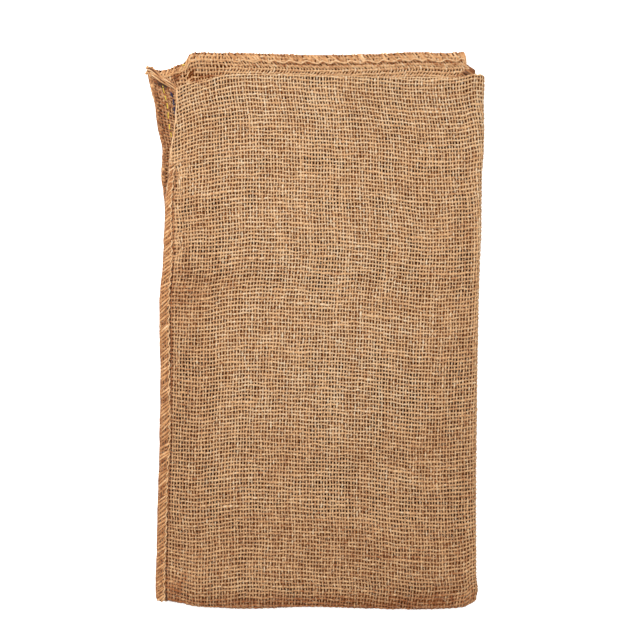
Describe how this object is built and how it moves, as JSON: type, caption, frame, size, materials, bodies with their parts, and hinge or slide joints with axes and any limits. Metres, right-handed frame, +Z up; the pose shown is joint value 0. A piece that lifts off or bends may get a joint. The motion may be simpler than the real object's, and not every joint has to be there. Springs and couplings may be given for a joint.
{
  "type": "folded burlap sack",
  "caption": "Empty jute sack with overcast side seams and mouth, folded flat in half and then in thirds as a soft pack of plies.",
  "frame": {"origin": "middle of the pack's outline, on the surface it lies on", "axes": "+Z up out of the folded face that shows, +Y along the pack towards the sack's mouth, +X across the pack towards the fold between its upper thirds"},
  "size_m": [0.3418, 0.5642, 0.0198],
  "materials": {
    "jute": "coarse open plain weave of tan jute yarn, matt and slightly hairy"
  },
  "bodies": {
    "root": {"sack_cloth": "jute"}
  },
  "joints": []
}
